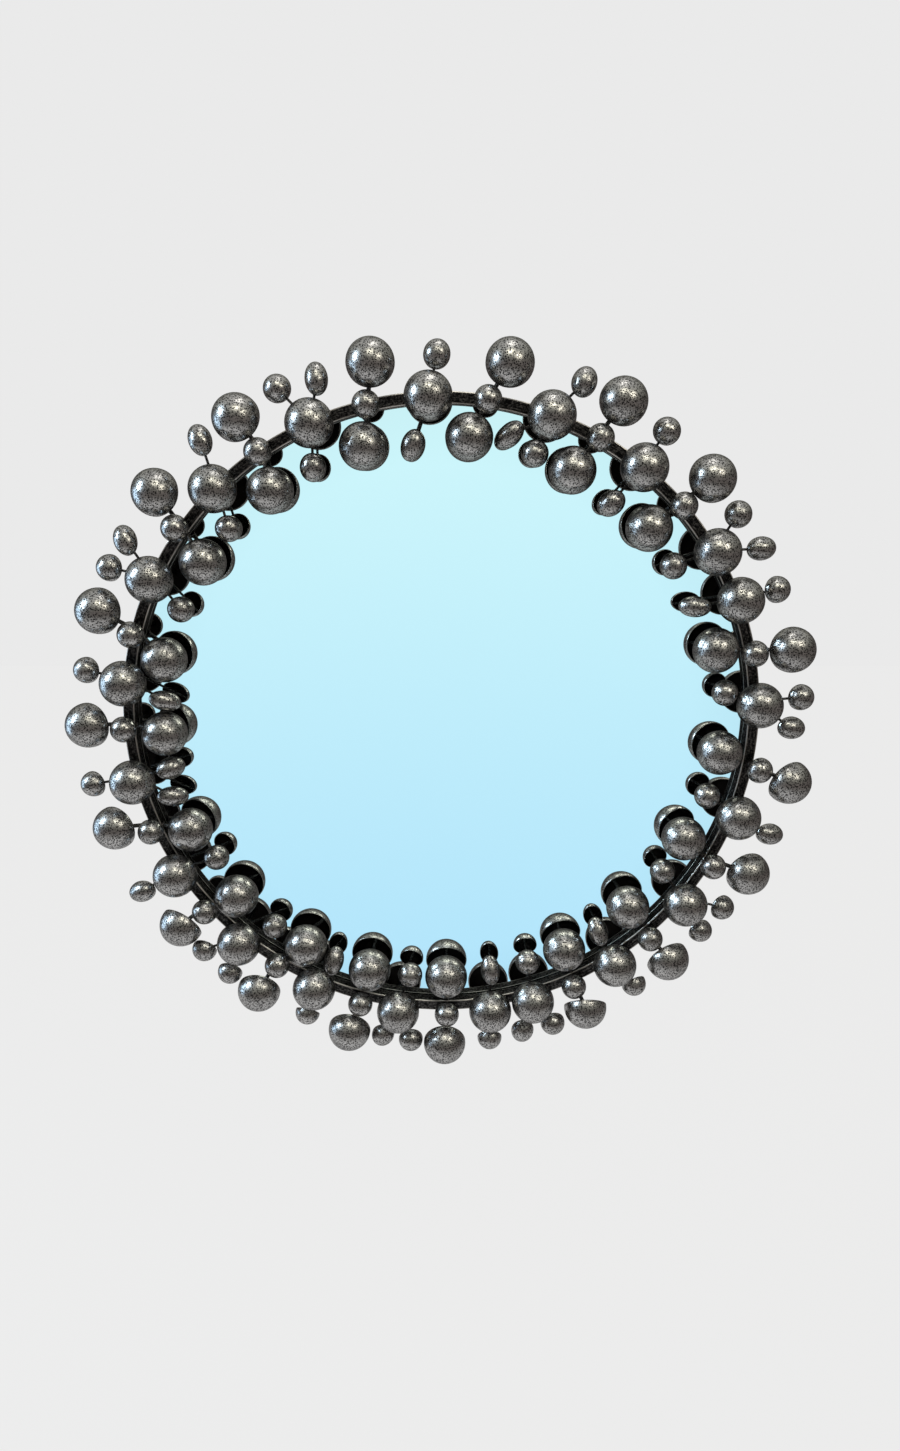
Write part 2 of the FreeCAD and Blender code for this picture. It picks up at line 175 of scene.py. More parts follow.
class MirrorSizes(bpy.types.PropertyGroup):
    """The sizes that the pieces are worked out from. They are the CAD part's own, apart from the
    glass's ground edge and hidden rim, the weld bead and the number of points."""
    ring_diameter: length("Ring diameter", 0.910, "Outside of the iron ring")
    bar_width: length("Bar width", 0.016, "Width of the ring's bar, seen from the front")
    bar_depth: length("Bar depth", 0.016, "Depth of the ring's bar, front to back")
    bar_edge: length("Bar edge", 0.0012, "How far the bar's front edges are eased")
    ring_back: length("Ring back", -0.019, "Where the ring's back face lies, measured from the wall")
    glass_diameter: length("Glass", 0.892, "Diameter of the glass disc")
    glass_thickness: length("Glass thickness", 0.004, "Front of the glass to its silvered back")
    glass_edge: length("Glass edge", 0.0004, "How far the disc's edges are ground")
    glass_rim: length("Hidden glass", 0.0025, "Breadth of the rim that lies against the ring's back")
    large_diameter: length("Large bubble", 0.064, "Outside diameter of the large bubbles")
    large_wall: length("Large bubble wall", 0.0016, "Sheet thickness of the large bubbles")
    small_diameter: length("Small bubble", 0.037, "Outside diameter of the small bubbles")
    small_wall: length("Small bubble wall", 0.0013, "Sheet thickness of the small bubbles")
    ring_large_height: length("Large ring bubble height", 0.027, "Ball centre in front of the ring")
    ring_small_height: length("Small ring bubble height", 0.026, "Ball centre in front of the ring")
    outer_large_height: length("Large outer bubble height", 0.018, "Ball centre in front of the ring")
    outer_large_reach: length("Large outer bubble reach", 0.052, "Ball centre out from the bar's middle")
    inner_large_height: length("Large inner bubble height", 0.009, "Ball centre in front of the ring")
    inner_large_reach: length("Large inner bubble reach", 0.050, "Ball centre in from the bar's middle")
    outer_small_height: length("Small outer bubble height", 0.014, "Ball centre in front of the ring")
    outer_small_reach: length("Small outer bubble reach", 0.054, "Ball centre out from the bar's middle")
    inner_small_height: length("Small inner bubble height", 0.009, "Ball centre in front of the ring")
    inner_small_reach: length("Small inner bubble reach", 0.052, "Ball centre in from the bar's middle")
    post_diameter: length("Large post", 0.007, "Rod under a large ring bubble")
    small_post_diameter: length("Small post", 0.006, "Rod under a small ring bubble")
    stem_diameter: length("Stem", 0.006, "Rod from the bar to a large bubble beside the ring")
    wire_diameter: length("Wire", 0.0036, "Rod from a post to a small bubble beside the ring")
    wire_low_height: length("Low wire", 0.0026, "Where a post's first wire leaves it")
    wire_high_height: length("High wire", 0.008, "Where a post's second wire leaves it")
    weld_bead: length("Weld bead", 0.0014, "How far a weld stands out around its rod")
    skirt_share: FloatProperty(name="Skirt", default=0.12, min=0, max=0.5,
                               description="How far a bubble goes on past its middle, for its radius")
    around: IntProperty(name="Points around", default=44, min=12, max=96,
                        description="Points around one bubble")


class MirrorColours(bpy.types.PropertyGroup):
    """The colours that the materials and the stage start from."""
    metal_dark: colour("Metal, dark", (0.036, 0.035, 0.036), "The ground between the bubbles' specks")
    metal_bright: colour("Metal, bright", (0.62, 0.61, 0.60), "The bubbles' silver specks")
    bare_edge: colour("Bare edge", (0.42, 0.38, 0.36), "Cut metal on the bubbles' rims")
    # Bubble inside: the hollow is given a flat dark colour, darker than the speckled outside.
    bubble_inside: colour("Bubble inside", (0.040, 0.034, 0.032), "The soot-black hollow of a bubble")
    iron: colour("Iron", (0.009, 0.009, 0.010), "Posts, stems and wires")
    iron_grain: colour("Iron grain", (0.22, 0.215, 0.21), "Rubbed lines in the ring's bar")
    weld: colour("Weld", (0.055, 0.045, 0.050), "The heat-tinted skin of the welds")
    # Iron edge: a painted highlight, a bright line along the bar's eased edges.
    iron_edge_highlight: colour("Iron edge", (0.68, 0.65, 0.62), "The bar's rubbed edges")
    glass: colour("Glass", (0.90, 0.97, 0.97), "The silvering behind the clear glass")
    glass_green: colour("Glass edge", (0.085, 0.145, 0.125), "The glass seen through its ground edge")
    sky_high: colour("Sky, high", (0.69, 0.96, 1.0), "What a sharp mirror shows at eye level")
    sky_low: colour("Sky, low", (0.49, 0.80, 1.0), "What a sharp mirror shows further down")
    board: colour("Board", (0.20, 0.125, 0.07), "The fibreboard behind the glass")
    zinc: colour("Zinc", (0.42, 0.43, 0.44), "Tabs and brackets")
    rubber: colour("Rubber", (0.018, 0.018, 0.018), "The wall bumpers")
    backdrop: colour("Backdrop", (0.823, 0.823, 0.823), "The pale ground behind the mirror")


# Places

Bubble = namedtuple("Bubble", "centre axes length breadth wall")
Rod = namedtuple("Rod", "start run first last radius")


def radial(angle):
    """The unit vector out from the centre at a clock angle: (sine, 0, cosine)."""
    a = math.radians(angle)
    return np.array([math.sin(a), 0.0, math.cos(a)])


def unit(vector):
    """The vector over its own length."""
    return vector / np.linalg.norm(vector)


def turned(direction, angle):
    """The direction turned clockwise about Y: x cos + z sin, and z cos - x sin."""
    a = math.radians(angle)
    x, y, z = direction
    return np.array([x * math.cos(a) + z * math.sin(a), y, z * math.cos(a) - x * math.sin(a)])


def place(sizes, reach, angle, height):
    """A point this far out from the bar's middle and this far in front of the ring."""
    middle = (sizes.ring_diameter - sizes.bar_width) / 2
    front = sizes.ring_back - sizes.bar_depth
    return radial(angle) * (middle + reach) + ROOM * (height - front)


def bubble_axes(along, lean):
    """The long axis, the cross axis and the apex of a bubble that leans towards `along`.
    The apex is the way into the room turned by the lean."""
    tip = math.radians(lean)
    apex = ROOM * math.cos(tip) + along * math.sin(tip)
    across = np.cross(ROOM, along)
    return np.stack([np.cross(across, apex), across, apex])


def bar_exit(sizes, run, angle):
    """How far a rod from the bar's middle goes before it leaves the bar: the nearer of its faces."""
    out = abs(float(run @ radial(angle)))
    forward = abs(float(run @ ROOM))
    return min(sizes.bar_width / 2 / max(out, TINY), sizes.bar_depth / 2 / max(forward, TINY))


def wall_reach(bubble, run):
    """How far the hollow's wall lies from its centre: one over the root of the summed squares
    of the run's parts over the half-axes."""
    long, short = bubble.length - bubble.wall, bubble.breadth - bubble.wall
    x, y, z = bubble.axes @ run
    return 1 / math.sqrt((x / long) ** 2 + (y ** 2 + z ** 2) / short ** 2)


def carried(pieces, kinds, angle, bubble, start, first, radius):
    """File a bubble, and the rod that goes from its carrier's skin to the bubble's far wall."""
    side = "right" if angle % 360 < 180 else "left"
    run = unit(bubble.centre - start)
    last = float(np.linalg.norm(bubble.centre - start)) + wall_reach(bubble, run)
    pieces.setdefault(f"{kinds[0]}_{side}", []).append(bubble)
    pieces.setdefault(f"{kinds[1]}_{side}", []).append(Rod(start, run, first(run), last, radius))


def small_bubble(sizes, centre, axes, oval_share=1.0):
    """A small bubble. A squeezed one keeps its rim's length: its half-axes add up as before."""
    long = sizes.small_diameter / (1 + oval_share)
    return Bubble(centre, axes, long, long * oval_share, sizes.small_wall)


def large_bubble(sizes, centre, axes):
    """A large bubble."""
    radius = sizes.large_diameter / 2
    return Bubble(centre, axes, radius, radius, sizes.large_wall)


def lay_out_branch(sizes, pieces, branch):
    """A small ring bubble on its post, and a large bubble on a stem at either side of the ring."""
    angle = branch.angle
    start = place(sizes, 0, angle, -sizes.bar_depth / 2)
    rise = sizes.ring_small_height + sizes.bar_depth / 2
    sideways = radial(angle) * rise * math.tan(math.radians(branch.post_lean))
    bubble = small_bubble(sizes, start + sideways + ROOM * rise, bubble_axes(radial(angle), branch.post_lean))
    carried(pieces, ("small_ring_bubbles", "small_ring_posts"), angle, bubble, start,
            lambda run: bar_exit(sizes, run, angle), sizes.small_post_diameter / 2)
    outer, inner = angle + branch.outer_turn, angle + branch.inner_turn
    beside = (
        ("outer", outer, sizes.outer_large_reach * branch.outer_share, sizes.outer_large_height,
         bubble_axes(radial(outer + branch.swing), branch.outer_lean)),
        ("inner", inner, -sizes.inner_large_reach * branch.inner_share, sizes.inner_large_height,
         bubble_axes(-radial(inner), branch.inner_lean)),
    )
    for where, turn, reach, height, axes in beside:
        carried(pieces, (f"large_{where}_bubbles", f"{where}_stems"), turn,
                large_bubble(sizes, place(sizes, reach, turn, height), axes),
                start, lambda run: bar_exit(sizes, run, angle), sizes.stem_diameter / 2)


def lay_out_spray(sizes, pieces, spray):
    """A large ring bubble on its post, and the small bubbles on wires that leave the post."""
    start = place(sizes, 0, spray.angle, -sizes.bar_depth / 2)
    centre = place(sizes, 0, spray.angle, sizes.ring_large_height)
    carried(pieces, ("large_ring_bubbles", "large_ring_posts"), spray.angle,
            large_bubble(sizes, centre, bubble_axes(radial(spray.angle), 0)), start,
            lambda run: bar_exit(sizes, run, spray.angle), sizes.post_diameter / 2)
    sides = (("outer", spray.outer, sizes.outer_small_reach, sizes.outer_small_height),
             ("inner", spray.inner, -sizes.inner_small_reach, sizes.inner_small_height))
    for where, wires, reach, height in sides:
        for wire, low in zip(wires, (sizes.wire_low_height, sizes.wire_high_height)):
            angle = spray.angle + wire.turn
            centre = place(sizes, reach * wire.reach_share, angle, height)
            foot = place(sizes, 0, spray.angle, low)
            along = unit((centre - foot) * (1, 0, 1))
            axes = bubble_axes(turned(along, wire.swing), wire.lean)
            carried(pieces, (f"small_{where}_bubbles", f"{where}_wires"), angle,
                    small_bubble(sizes, centre, axes, wire.oval_share), foot,
                    lambda run: sizes.post_diameter / 2 / math.hypot(run[0], run[2]),
                    sizes.wire_diameter / 2)


def lay_out(sizes):
    """Every bubble and rod, filed under the name of the CAD node that it belongs to."""
    pieces = {}
    for branch in BRANCHES:
        lay_out_branch(sizes, pieces, branch)
    for spray in SPRAYS:
        lay_out_spray(sizes, pieces, spray)
    return pieces


# Surfaces

def capped_grid(rows, around):
    """Faces of a skin of `rows` closed rings of points, with a pole before and one after them."""
    here = np.arange(around)
    there = np.roll(here, -1)
    base = 1 + np.arange(rows - 1)[:, None] * around
    quads = np.stack([base + here, base + here + around, base + there + around, base + there], -1)
    last = 1 + (rows - 1) * around
    end = np.full(around, last + around)
    start = np.zeros(around, int)
    triangles = np.concatenate([np.stack([start, 1 + here, 1 + there], -1),
                                np.stack([last + there, last + here, end], -1)])
    return quads.reshape(-1, 4), triangles


def dome_profile(bubble, skirt_share, steps=16):
    """Polar angle and inset down the outside, round the lip and up the inside. The inset goes from
    nought to the wall's thickness, and the lip is a half-circle as wide as the wall."""
    lip = bubble.wall / 2 / bubble.breadth
    low = math.pi / 2 + math.asin(skirt_share) - lip
    down = np.linspace(0, low, steps + 1)[1:]
    turn = np.linspace(0, math.pi, 7)[1:-1]
    polar = np.concatenate([down, low + lip * np.sin(turn), down[::-1]])
    inset = bubble.wall * np.concatenate([np.zeros(steps), (1 - np.cos(turn)) / 2, np.ones(steps)])
    return polar, inset


def dome_points(bubble, skirt_share, around):
    """Points of a hollow half-ball: the half-axes less the inset, times (sin p cos a, sin p sin a,
    cos p) for the polar angle p and the angle a around the apex, carried to its own axes."""
    polar, inset = dome_profile(bubble, skirt_share)
    a = np.linspace(0, 2 * math.pi, around, endpoint=False)
    ring = np.sin(polar)[:, None]
    long, short = (bubble.length - inset)[:, None], (bubble.breadth - inset)[:, None]
    height = np.broadcast_to(short * np.cos(polar)[:, None], (len(polar), around))
    local = np.stack([long * ring * np.cos(a), short * ring * np.sin(a), height], -1).reshape(-1, 3)
    poles = np.array([[0, 0, bubble.breadth], [0, 0, bubble.breadth - bubble.wall]])
    local = np.concatenate([poles[:1], local, poles[1:]])
    inside = np.concatenate([[0], np.repeat(inset / bubble.wall, around), [1]])
    return bubble.centre + local @ bubble.axes, inside, len(polar)


def rod_points(rod, bead, phase, around):
    """Points of a round rod: its radius carried along the run. At both ends it swells by the bead,
    falling off with the square of the way from the end, and the swelling is lumpy around the rod."""
    way = rod.last - rod.first
    spread = min(BEAD_LENGTH_SHARE * bead, way / 3)
    near = np.array([0, 0.15, 0.35, 0.6, 0.85, 1]) * spread
    s = np.concatenate([[-ROD_SINK], near, [way / 2], way - near[::-1], [way + ROD_SEAT]])
    ends = np.clip(1 - np.minimum(np.abs(s), np.abs(way - s)) / spread, 0, 1) ** 2
    a = np.linspace(0, 2 * math.pi, around, endpoint=False)
    lumps = 1 + 0.22 * np.sin(3 * a + phase) + 0.12 * np.sin(5 * a + 2 * phase)
    radius = rod.radius + bead * ends[:, None] * lumps
    side = unit(np.cross(rod.run, [0.3, 0.5, 0.81]))
    other = np.cross(side, rod.run)
    circle = np.cos(a)[:, None] * side + np.sin(a)[:, None] * other
    line = rod.start + rod.run * (rod.first + s)[:, None]
    points = (line[:, None] + radius[..., None] * circle).reshape(-1, 3)
    points = np.concatenate([line[:1], points, line[-1:]])
    weld = np.concatenate([ends[:1], np.repeat(ends, around), ends[-1:]])
    return points, weld, len(s)


def eased_section(corners, eases, steps=4):
    """A closed outline with its corners rounded: each is a quarter circle between two points on its
    sides, with one more point on each side close by, so that the flats stay flat when shaded."""
    points = []
    for i, corner in enumerate(corners):
        before = unit(corners[i - 1] - corner)
        after = unit(corners[(i + 1) % len(corners)] - corner)
        turn = np.linspace(0, math.pi / 2, steps + 1)[:, None]
        arc = corner + eases[i] * ((1 - np.sin(turn)) * before + (1 - np.cos(turn)) * after)
        points += [corner + 1.5 * eases[i] * before, *arc, corner + 1.5 * eases[i] * after]
    return np.array(points)


def ring_points(sizes, around):
    """Points of the ring: the bar's outline (radius, depth) carried round the centre."""
    outer = sizes.ring_diameter / 2
    inner, back = outer - sizes.bar_width, sizes.ring_back
    front = back - sizes.bar_depth
    corners = np.array([[inner, back], [inner, front], [outer, front], [outer, back]])
    ease = sizes.bar_edge
    section = eased_section(corners, (ease / 3, ease, ease, ease / 3))
    a = np.linspace(0, 2 * math.pi, around, endpoint=False)[:, None]
    radius, depth = section[:, 0], section[:, 1]
    points = np.stack([radius * np.sin(a), np.broadcast_to(depth, (around, len(section))),
                       radius * np.cos(a)], -1)
    return points.reshape(-1, 3), section


def glass_points(sizes, around):
    """Points of the glass disc: its outline (radius, depth) carried round the centre. Silvering seen
    through glass seems to lie the thickness over the glass's index of refraction behind the front, so
    the face is let in by that much, out to a rim that the ring hides."""
    edge, front = sizes.glass_diameter / 2, sizes.ring_back
    back, ease, sight = front + sizes.glass_thickness, sizes.glass_edge, edge - sizes.glass_rim
    silvering = front + sizes.glass_thickness / GLASS_INDEX
    outline = np.array([[sight, silvering], [sight, front], [edge - ease, front], [edge, front + ease],
                        [edge, back - ease], [edge - ease, back]])
    a = np.linspace(0, 2 * math.pi, around, endpoint=False)
    radius, depth = outline[:, :1], outline[:, 1:]
    points = np.stack([radius * np.cos(a), np.broadcast_to(depth, (len(outline), around)),
                       radius * np.sin(a)], -1).reshape(-1, 3)
    return np.concatenate([[[0, silvering, 0]], points, [[0, back, 0]]]), len(outline)


def wrapped_grid(rows, around):
    """Faces of a skin that closes both ways."""
    row, here = np.meshgrid(np.arange(rows), np.arange(around), indexing="ij")
    below, there = (row + 1) % rows, (here + 1) % around
    quads = np.stack([row * around + here, below * around + here, below * around + there,
                      row * around + there], -1)
    return quads.reshape(-1, 4)


def new_piece(name, points, quads, triangles, material, values=None):
    """A mesh object from arrays. `values` are named numbers, one for each point."""
    mesh = bpy.data.meshes.new(name)
    mesh.vertices.add(len(points))
    mesh.vertices.foreach_set("co", points.astype(np.float32).ravel())
    corners = np.concatenate([quads.ravel(), triangles.ravel()]).astype(np.int32)
    counts = np.concatenate([np.full(len(quads), 4), np.full(len(triangles), 3)])
    starts = (np.cumsum(counts) - counts).astype(np.int32)
    mesh.loops.add(len(corners))
    mesh.loops.foreach_set("vertex_index", corners)
    mesh.polygons.add(len(starts))
    mesh.polygons.foreach_set("loop_start", starts)
    mesh.update(calc_edges=True)
    if mesh.validate():
        raise RuntimeError(f"{name} has a broken mesh")
    mesh.polygons.foreach_set("use_smooth", np.ones(len(starts), bool))
    for key, numbers in (values or {}).items():
        mesh.attributes.new(key, "FLOAT", "POINT").data.foreach_set("value", numbers.astype(np.float32))
    mesh.materials.append(material)
    piece = bpy.data.objects.new(name, mesh)
    bpy.context.scene.collection.objects.link(piece)
    return piece


def joined(parts):
    """Points, values and faces of several skins as one. Each part is (points, values, rows, around)."""
    points, values, quads, triangles, first = [], [], [], [], 0
    for part_points, part_values, rows, around in parts:
        part_quads, part_triangles = capped_grid(rows, around)
        points.append(part_points)
        values.append(part_values)
        quads.append(part_quads + first)
        triangles.append(part_triangles + first)
        first += len(part_points)
    return tuple(np.concatenate(x) for x in (points, values, quads, triangles))


def dress(piece, node):
    """Let a piece stand for its CAD node, once its box has been set against the node's."""
    low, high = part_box(node)
    points = np.array([v.co for v in piece.data.vertices])
    gap = max(np.abs(points.min(0) - np.array(low)).max(), np.abs(points.max(0) - np.array(high)).max())
    if gap > BOX_SLACK:
        raise RuntimeError(f"{piece.name} leaves its CAD node by {gap * 1000:.1f} mm")
    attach(piece, "root")
    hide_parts(node)


# Materials

def node(tree, kind, settings=None, **inputs):
    """A shader node with its settings and its inputs' values or links."""
    made = tree.nodes.new("ShaderNode" + kind)
    for key, value in (settings or {}).items():
        setattr(made, key, value)
    for key, value in inputs.items():
        socket = made.inputs[int(key[1:])] if key[0] == "i" and key[1:].isdigit() else \
            made.inputs[key.replace("_", " ")]
        if isinstance(value, bpy.types.NodeSocket):
            tree.links.new(value, socket)
        else:
            socket.default_value = value
    return made


def rgba(values):
    """A colour with full alpha."""
    return (*values, 1.0)


def finish(name, metallic, roughness):
    """A new material with a Principled shader. Returns it, its tree, the shader and Object coordinates."""
    material = bpy.data.materials.new(name)
    material.use_nodes = True
    tree = material.node_tree
    shader = tree.nodes["Principled BSDF"]
    shader.inputs["Metallic"].default_value = metallic
    shader.inputs["Roughness"].default_value = roughness
    coordinates = tree.nodes.new("ShaderNodeTexCoord").outputs["Object"]
    return material, tree, shader, coordinates


def ramp(tree, factor, stops):
    """A colour ramp over the factor. Stops are (place, colour or grey)."""
    made = node(tree, "ValToRGB", i0=factor)
    elements = made.color_ramp.elements
    while len(elements) < len(stops):
        elements.new(0.5)
    for element, (position, value) in zip(elements, stops):
        element.position = position
        element.color = rgba(value if hasattr(value, "__len__") else (value,) * 3)
    return made.outputs["Color"]


def mixed(tree, factor, first, second, blend="MIX"):
    """Two colours mixed by a factor."""
    made = tree.nodes.new("ShaderNodeMix")
    made.data_type = "RGBA"
    made.blend_type = blend
    for socket, value in ((made.inputs[0], factor), (made.inputs[6], first), (made.inputs[7], second)):
        if isinstance(value, bpy.types.NodeSocket):
            tree.links.new(value, socket)
        else:
            socket.default_value = value if isinstance(value, float) else rgba(value)
    return made.outputs[2]


def raised(tree, shader, height, strength, distance):
    """A bump on the shader from a height."""
    bump = node(tree, "Bump", Strength=strength, Distance=distance, Height=height)
    tree.links.new(bump.outputs["Normal"], shader.inputs["Normal"])


def speckled_metal(colours):
    """Burnished gunmetal with a fine mottled silver speckle outside, a flat dark colour in the hollow and
    bare on the rim."""
    material, tree, shader, at = finish("speckled_gunmetal", 1.0, 0.3)
    cells = node(tree, "TexVoronoi", Vector=at, Scale=390.0, Randomness=0.9)
    grain = node(tree, "TexNoise", Vector=at, Scale=800.0, Detail=1.0, Roughness=0.5)
    cloud = node(tree, "TexNoise", Vector=at, Scale=45.0, Detail=2.0)
    between = ramp(tree, cells.outputs["Distance"], [(0.30, 0.0), (0.52, 1.0)])
    specks = ramp(tree, grain.outputs[0], [(0.38, 0.5), (0.62, 1.0)])
    speckle = mixed(tree, 1.0, between, specks, "MULTIPLY")
    patches = ramp(tree, cloud.outputs[0], [(0.35, 0.85), (0.65, 1.0)])
    silver = mixed(tree, 1.0, speckle, patches, "MULTIPLY")
    skin = mixed(tree, silver, colours.metal_dark, colours.metal_bright)
    depth = node(tree, "Attribute", {"attribute_name": "inside"}).outputs["Fac"]
    hollow = ramp(tree, depth, [(0.6, 0.0), (0.9, 1.0)])
    rim = ramp(tree, depth, [(0.0, 0.0), (0.12, 1.0), (0.75, 1.0), (0.95, 0.0)])
    edged = mixed(tree, rim, mixed(tree, hollow, skin, colours.bubble_inside), colours.bare_edge)
    tree.links.new(edged, shader.inputs["Base Color"])
    rough = node(tree, "MapRange", Value=silver, To_Min=0.33, To_Max=0.26).outputs[0]
    rougher = node(tree, "Math", {"operation": "MULTIPLY_ADD"}, i0=hollow, i1=0.4, i2=rough).outputs[0]
    tree.links.new(rougher, shader.inputs["Roughness"])
    shader.inputs["Specular Tint"].default_value = (0.6, 0.6, 0.6, 1)
    raised(tree, shader, between, 0.12, 0.0003)
    return material


def rod_iron(colours):
    """Dull blackened rod with mill scale, and a heat-tinted, rougher skin on its welds."""
    material, tree, shader, at = finish("rod_iron", 0.85, 0.5)
    scale = node(tree, "TexNoise", Vector=at, Scale=500.0, Detail=4.0)
    weld = node(tree, "Attribute", {"attribute_name": "weld"}).outputs["Fac"]
    flakes = ramp(tree, scale.outputs[0], [(0.4, 0.0), (0.75, 1.0)])
    skin = mixed(tree, flakes, colours.iron, colours.iron_grain)
    tree.links.new(mixed(tree, weld, skin, colours.weld), shader.inputs["Base Color"])
    rough = node(tree, "MapRange", Value=scale.outputs[0], To_Min=0.4, To_Max=0.62).outputs[0]
    tree.links.new(rough, shader.inputs["Roughness"])
    raised(tree, shader, scale.outputs[0], 0.3, 0.0003)
    return material


def ring_iron(colours):
    """Brown-black bar iron, its grain drawn along the bar, with a painted highlight along its edges, broken
    into patches by the grain.
    """
    material, tree, shader, at = finish("ring_iron", 0.8, 0.45)
    along = tree.nodes.new("ShaderNodeUVMap").outputs["UV"]
    drawn = node(tree, "Mapping", Vector=along, Scale=(60.0, 900.0, 1.0)).outputs[0]
    streaks = node(tree, "TexNoise", Vector=drawn, Scale=1.0, Detail=4.0, Roughness=0.7)
    scale = node(tree, "TexNoise", Vector=at, Scale=350.0, Detail=5.0, Roughness=0.7)
    both = mixed(tree, 0.5, streaks.outputs[0], scale.outputs[0])
    lines = ramp(tree, both, [(0.49, 0.0), (0.60, 1.0)])
    edge = node(tree, "Attribute", {"attribute_name": "edge"}).outputs["Fac"]
    # A painted highlight along the bar's eased edges, shown in patches where the grain allows.
    highlighted = ramp(tree, both, [(0.30, 0.0), (0.45, 1.0)])
    edge_highlight = node(tree, "Math", {"operation": "MULTIPLY"}, i0=edge, i1=highlighted)
    drawn_skin = mixed(tree, lines, colours.iron, colours.iron_grain)
    tree.links.new(mixed(tree, edge_highlight.outputs[0], drawn_skin, colours.iron_edge_highlight), shader.inputs["Base Color"])
    rough = node(tree, "MapRange", Value=both, To_Min=0.24, To_Max=0.42).outputs[0]
    tree.links.new(rough, shader.inputs["Roughness"])
    shader.inputs["Specular Tint"].default_value = (0.3, 0.3, 0.3, 1)
    shader.inputs["Specular IOR Level"].default_value = 0.25
    raised(tree, shader, both, 0.2, 0.0003)
    return material


def silvered_glass(colours):
    """Silvered mirror, clear and sharp, its silvering a touch thinner towards the rim, and the dark
    green of the glass on its ground edge."""
    material, tree, shader, at = finish("silvered_glass", 1.0, 0.0)
    spread = node(tree, "VectorMath", {"operation": "LENGTH"}, i0=at).outputs["Value"]
    rim = node(tree, "MapRange", Value=spread, From_Min=FADE_START, From_Max=FADE_END).outputs[0]
    thinner = tuple(FADED_SHARE * c for c in colours.glass)
    edge = node(tree, "Attribute", {"attribute_name": "ground"}).outputs["Fac"]
    silver = mixed(tree, rim, colours.glass, thinner)
    tree.links.new(mixed(tree, edge, silver, colours.glass_green), shader.inputs["Base Color"])
    return material


def fibreboard(colours):
    """Brown hardboard: short felted fibres over a fine screen print."""
    material, tree, shader, at = finish("fibreboard", 0.0, 0.75)
    fibre = node(tree, "TexNoise", Vector=node(tree, "Mapping", Vector=at, Scale=(1.0, 1.0, 5.0)).outputs[0],
                 Scale=160.0, Detail=5.0, Roughness=0.75)
    screen = node(tree, "TexVoronoi", Vector=at, Scale=650.0)
    light = tuple(min(1.0, c * 1.7) for c in colours.board)
    tree.links.new(mixed(tree, ramp(tree, fibre.outputs[0], [(0.35, 0.0), (0.7, 1.0)]), colours.board, light),
                   shader.inputs["Base Color"])
    raised(tree, shader, screen.outputs["Distance"], 0.35, 0.0004)
    return material


def zinc_steel(colours):
    """Dull zinc plate with the faint patches of its crystals."""
    material, tree, shader, at = finish("zinc_steel", 1.0, 0.4)
    crystals = node(tree, "TexVoronoi", Vector=at, Scale=180.0)
    grey = node(tree, "SeparateColor", Color=crystals.outputs["Color"]).outputs[0]
    dull = tuple(c * 0.72 for c in colours.zinc)
    tree.links.new(mixed(tree, grey, dull, colours.zinc), shader.inputs["Base Color"])
    rough = node(tree, "MapRange", Value=grey, To_Min=0.32, To_Max=0.5).outputs[0]
    tree.links.new(rough, shader.inputs["Roughness"])
    return material


def bumper_rubber(colours):
    """Matte moulded rubber with a fine bloom."""
    material, tree, shader, at = finish("bumper_rubber", 0.0, 0.7)
    bloom = node(tree, "TexNoise", Vector=at, Scale=240.0, Detail=4.0)
    pale = tuple(c * 2.4 for c in colours.rubber)
    tree.links.new(mixed(tree, ramp(tree, bloom.outputs[0], [(0.45, 0.0), (0.8, 1.0)]), colours.rubber, pale),
                   shader.inputs["Base Color"])
    raised(tree, shader, bloom.outputs[0], 0.2, 0.0003)
    return material


def shared(maker):
    """The maker's material, made once. The frame's own materials have the slots' names."""
    name = maker.__name__ + "_finish"
    known = bpy.data.materials.get(name)
    if known is None:
        known = maker(bpy.context.scene.mirror_colours)
        known.name = name
    return known


def finish_node(name, maker):
    """Give a CAD node its material."""
    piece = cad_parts[name]
    piece.data.materials.clear()
    piece.data.materials.append(shared(maker))


# Pieces

def make_bubbles(place_name):
    """All the bubbles of one place, large and small, left and right."""
    sizes = bpy.context.scene.mirror_sizes
    pieces = lay_out(sizes)
    for size in ("large", "small"):
        for side in ("left", "right"):
            name = f"{size}_{place_name}_bubbles_{side}"
            parts = [(*dome_points(b, sizes.skirt_share, sizes.around), sizes.around) for b in pieces[name]]
            points, inside, quads, triangles = joined(parts)
            piece = new_piece("formed_" + name, points, quads, triangles, shared(speckled_metal),
                              {"inside": inside})
            dress(piece, name)


def make_rods(kinds):
    """The rods of these kinds with their welds, left and right."""
    sizes = bpy.context.scene.mirror_sizes
    pieces = lay_out(sizes)
    for kind in kinds:
        for side in ("left", "right"):
            name = f"{kind}_{side}"
            parts = []
            for i, rod in enumerate(pieces[name]):
                bead = min(sizes.weld_bead, BEAD_HEIGHT_SHARE * rod.radius)
                parts.append((*rod_points(rod, bead, i, ROD_AROUND), ROD_AROUND))
            points, weld, quads, triangles = joined(parts)
            piece = new_piece("welded_" + name, points, quads, triangles, shared(rod_iron), {"weld": weld})
            dress(piece, name)


